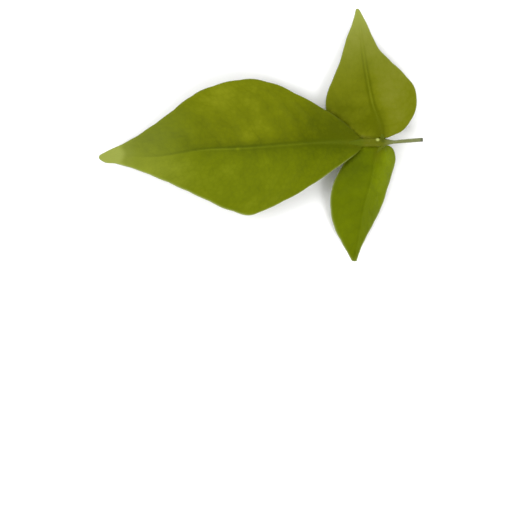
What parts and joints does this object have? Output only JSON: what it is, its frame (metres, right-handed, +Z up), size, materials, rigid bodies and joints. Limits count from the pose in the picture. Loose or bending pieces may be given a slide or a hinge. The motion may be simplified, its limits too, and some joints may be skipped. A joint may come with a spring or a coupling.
{
  "type": "trifoliate bael leaf",
  "caption": "Picked bael leaf lying face up: a slim cut stalk with a large pointed terminal leaflet and smaller side leaflets, gently arched and resting on their tips.",
  "frame": {"origin": "on the ground under the middle of the leaf as it lies", "axes": "+X from the terminal leaflet's tip towards the stalk's cut end, +Y towards the right side leaflet, +Z up out of the leaf's upper face"},
  "size_m": [0.0974, 0.076, 0.0089],
  "materials": {
    "leaf_blade": "smooth thin leaf, half gloss, lets light through",
    "leaf_stalk": "dull green fibrous stalk with a grey cut end"
  },
  "bodies": {
    "root": {"stalk": "leaf_stalk", "terminal_leaflet": "leaf_blade", "right_leaflet": "leaf_blade", "left_leaflet": "leaf_blade"}
  },
  "joints": []
}
